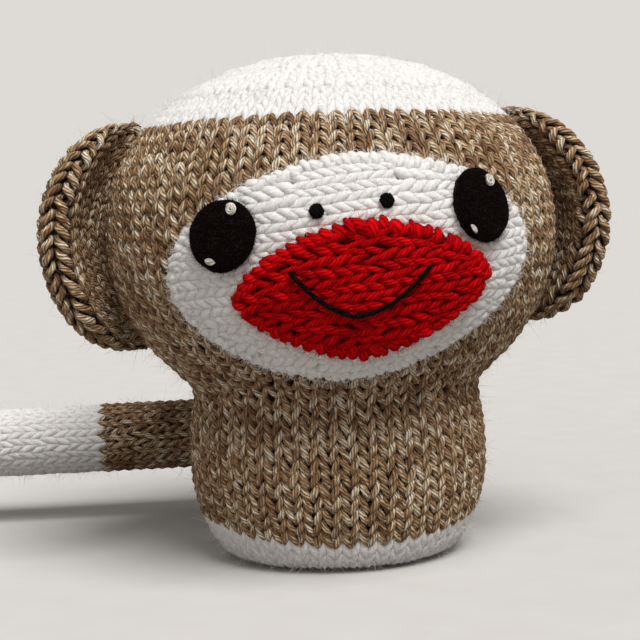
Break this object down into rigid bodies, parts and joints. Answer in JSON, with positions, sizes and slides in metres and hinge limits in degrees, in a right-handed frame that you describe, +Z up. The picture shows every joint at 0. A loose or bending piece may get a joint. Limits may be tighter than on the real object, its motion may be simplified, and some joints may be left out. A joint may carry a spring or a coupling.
{
  "type": "knitted sock monkey doll",
  "caption": "Small stuffed hand-knitted sock monkey with a big round head, a short round body on a flat base, cupped ears, sewn muzzle and lips, felt eyes and a bending tail.",
  "frame": {"origin": "centre of the flat base, on the surface that the doll stands on", "axes": "+Z up; the face looks along -Y; +X is to the right of someone facing the doll"},
  "size_m": [0.2124, 0.1562, 0.1436],
  "materials": {
    "brown_yarn": "matte heather wool",
    "white_yarn": "matte wool",
    "red_yarn": "matte wool",
    "black_thread": "soft embroidery thread",
    "black_felt": "matte felt",
    "cream_floss": "soft sheen embroidery floss",
    "fibrefill": "matte fibre wadding"
  },
  "bodies": {
    "torso": {"base_panel": "white_yarn", "body_skin": "brown_yarn", "body_stuffing": "fibrefill", "tail_seam": "brown_yarn"},
    "neck": {"neck_stuffing": "fibrefill"},
    "head": {"head_skin": "brown_yarn", "crown_cap": "white_yarn", "head_stuffing": "fibrefill", "muzzle_patch": "white_yarn", "muzzle_seam": "white_yarn", "lips_patch": "red_yarn", "lips_seam": "red_yarn", "smile_left": "black_thread", "smile_middle": "black_thread", "smile_right": "black_thread", "nostril_left": "black_thread", "nostril_right": "black_thread", "eye_left": "black_felt", "eye_right": "black_felt", "eye_left_glint": "cream_floss", "eye_left_dash": "cream_floss", "eye_right_glint": "cream_floss", "eye_right_dash": "cream_floss"},
    "ear_left": {"ear_left": "brown_yarn"},
    "ear_right": {"ear_right": "brown_yarn"},
    "tail_root": {"tail_brown_skin": "brown_yarn", "tail_brown_stuffing": "fibrefill"},
    "tail_tip": {"tail_white_skin": "white_yarn", "tail_white_stuffing": "fibrefill"}
  },
  "joints": [
    {"name": "head_nod", "type": "hinge", "parent": "torso", "child": "neck", "pos_m": [0, 0, 0.04], "axis": [1, 0, 0], "range_deg": [-8, 8], "stiffness_Nm_per_rad": 0.6},
    {"name": "head_turn", "type": "hinge", "parent": "neck", "child": "head", "pos_m": [0, 0, 0.04], "axis": [0, 0, 1], "range_deg": [-12, 12], "stiffness_Nm_per_rad": 0.3},
    {"name": "ear_left_fold", "type": "hinge", "parent": "head", "child": "ear_left", "pos_m": [-0.06908, 0.005, 0.0945], "axis": [0, 0, 1], "range_deg": [-25, 25], "stiffness_Nm_per_rad": 0.02},
    {"name": "ear_right_fold", "type": "hinge", "parent": "head", "child": "ear_right", "pos_m": [0.06908, 0.005, 0.0945], "axis": [0, 0, 1], "range_deg": [-25, 25], "stiffness_Nm_per_rad": 0.02},
    {"name": "tail_swing", "type": "hinge", "parent": "torso", "child": "tail_root", "pos_m": [0, 0.05241, 0.026], "axis": [0, 0, 1], "range_deg": [-25, 25], "stiffness_Nm_per_rad": 0.08},
    {"name": "tail_bend", "type": "hinge", "parent": "tail_root", "child": "tail_tip", "pos_m": [-0.06224, 0.07341, 0.026], "axis": [0, 0, 1], "range_deg": [-25, 25], "stiffness_Nm_per_rad": 0.04}
  ]
}
